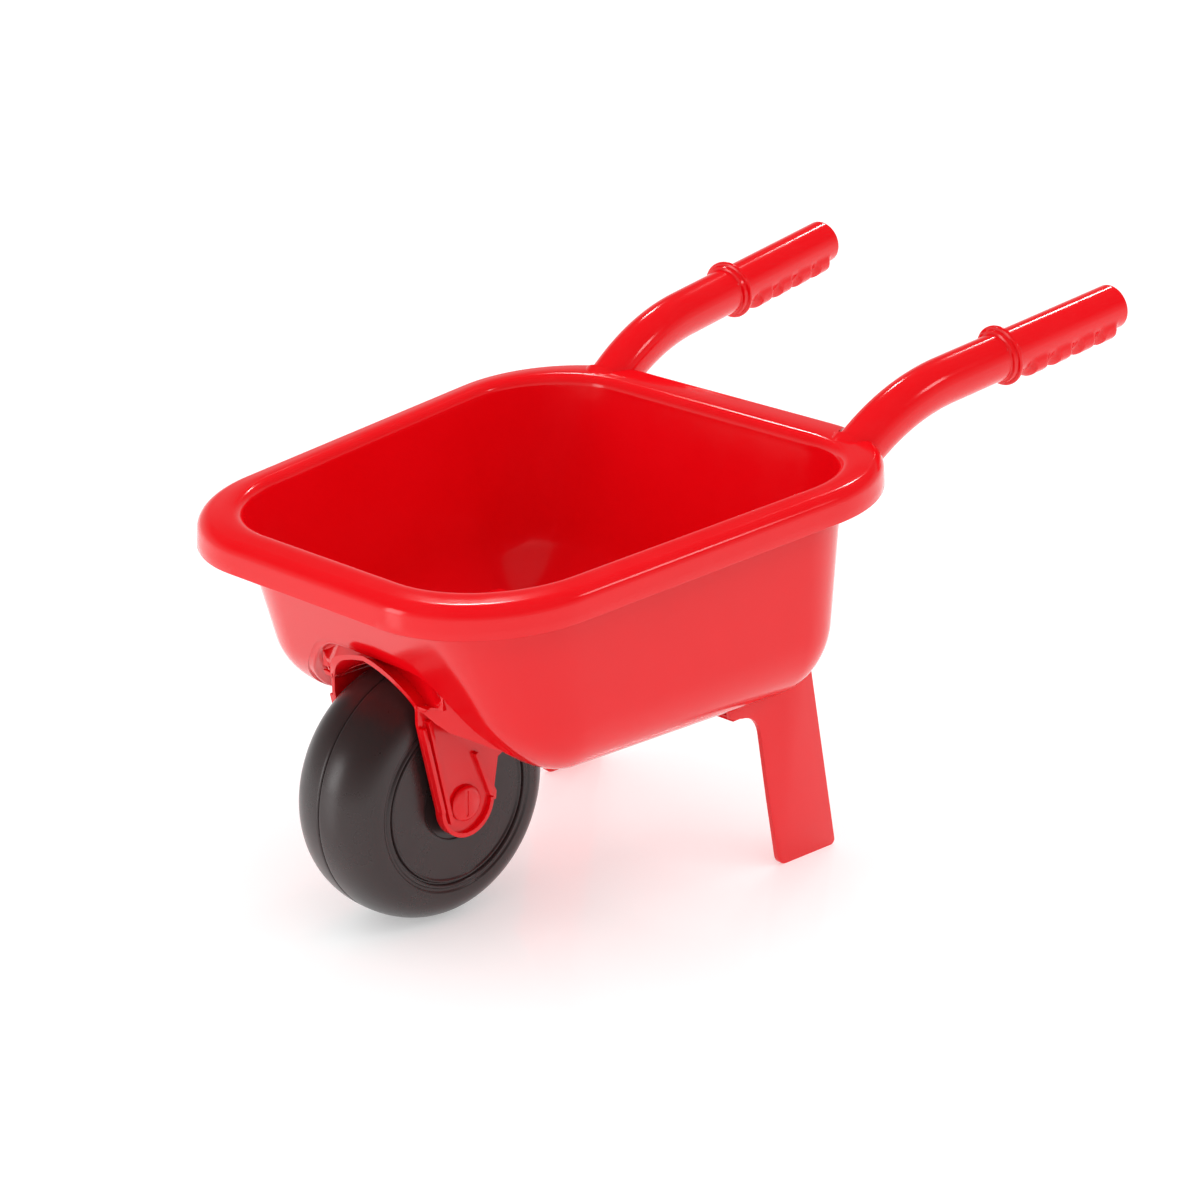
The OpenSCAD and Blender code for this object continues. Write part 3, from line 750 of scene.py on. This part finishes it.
def fork_piece():
    """The CAD fork with its flat front face set back behind a flared lip."""
    ob = softened("wheel_fork", 0.5)
    front = prism("front", [(-52, 150), (52, 150), (52, 176), (-52, 176)], "Y", -262, -226)
    boolean(ob, front, "DIFFERENCE")
    panel = prism("panel", band(PANEL, HOOD_IN), "Y", PANEL_FRONT, PANEL_BACK)
    boolean(ob, panel, "UNION")
    boolean(ob, hood_lip(), "UNION")
    ob.data.materials.clear()
    ob.data.materials.append(RED)
    return shade(ob, 34)


fork_piece()
for side in ("left", "right"):
    softened("leg_" + side, 0.8)
    softened("axle_cap_" + side, 0.35)

# ---------------------------------------------------------------- stage
def area(name, loc, target, size_x, size_y, power):
    data = bpy.data.lights.new(name, "AREA")
    data.shape = "RECTANGLE"
    data.size, data.size_y = size_x, size_y
    data.energy = power
    ob = bpy.data.objects.new(name, data)
    ob.location = loc
    ob.rotation_mode = "QUATERNION"
    ob.rotation_quaternion = (Vector(target) - Vector(loc)).to_track_quat("-Z", "Y")
    bpy.context.scene.collection.objects.link(ob)
    return ob


def build_stage():
    bm = bmesh.new()
    bmesh.ops.create_circle(bm, cap_ends=True, radius=12.0, segments=96)
    me = bpy.data.meshes.new("floor")
    bm.to_mesh(me)
    bm.free()
    floor = bpy.data.objects.new("floor", me)
    floor.location = (0, 0, -0.0002)
    bpy.context.scene.collection.objects.link(floor)
    mat, nt, bsdf = node_tree("studio_floor")
    bsdf.inputs["Base Color"].default_value = (0.80, 0.80, 0.80, 1)
    bsdf.inputs["Roughness"].default_value = 0.12
    bsdf.inputs["Emission Color"].default_value = (1, 1, 1, 1)
    bsdf.inputs["Emission Strength"].default_value = 0.36
    floor.data.materials.append(mat)
    world = bpy.data.worlds.new("studio")
    world.use_nodes = True
    bpy.context.scene.world = world
    nt = world.node_tree
    bg = nt.nodes["Background"]
    bg.inputs["Color"].default_value = (1.0, 1.0, 1.0, 1)
    # reflections see a dim ceiling above a bright horizon, everything else sees an even white room
    path = nt.nodes.new("ShaderNodeLightPath")
    coord = nt.nodes.new("ShaderNodeTexCoord")
    split = nt.nodes.new("ShaderNodeSeparateXYZ")
    nt.links.new(coord.outputs["Generated"], split.inputs[0])
    ceiling = ramp(nt, split.outputs["Z"], 0.02, 0.45, 0.75, 0.10)
    choose = nt.nodes.new("ShaderNodeMix")
    choose.data_type = "FLOAT"
    nt.links.new(path.outputs["Is Glossy Ray"], choose.inputs[0])
    nt.links.new(ramp(nt, split.outputs["Z"], 0.0, 0.8, 0.86, 1.26), choose.inputs[2])
    nt.links.new(ceiling, choose.inputs[3])
    nt.links.new(choose.outputs[0], bg.inputs["Strength"])
    area("key", (-1.5, 0.9, 1.9), (0, -0.1, 0.15), 0.24, 0.15, 3.5)
    area("key_back", (-0.9, 1.7, 1.9), (0, -0.1, 0.15), 0.24, 0.15, 3.5)
    area("fill", (1.6, 0.9, 1.5), (0, -0.1, 0.15), 0.30, 0.30, 2)
    area("front_glow", (-1.1, -2.2, 0.55), (0, -0.1, 0.2), 0.6, 0.9, 7)


build_stage()

CAMERA_AT = (1.4470, -1.4524, 0.8636)
AZIMUTH, ELEVATION, LENS = 45.87, 19.22, 103.571


def place_camera():
    scene = bpy.context.scene
    scene.view_settings.view_transform = "Standard"
    data = bpy.data.cameras.new("camera")
    data.sensor_width, data.lens, data.clip_end = 36.0, LENS, 100.0
    cam = bpy.data.objects.new("camera", data)
    scene.collection.objects.link(cam)
    scene.camera = cam
    az, el = math.radians(AZIMUTH), math.radians(ELEVATION)
    back = Vector((math.sin(az) * math.cos(el), -math.cos(az) * math.cos(el), math.sin(el)))
    cam.location = CAMERA_AT
    cam.rotation_mode = "QUATERNION"
    cam.rotation_quaternion = (-back).to_track_quat("-Z", "Y")


place_camera()
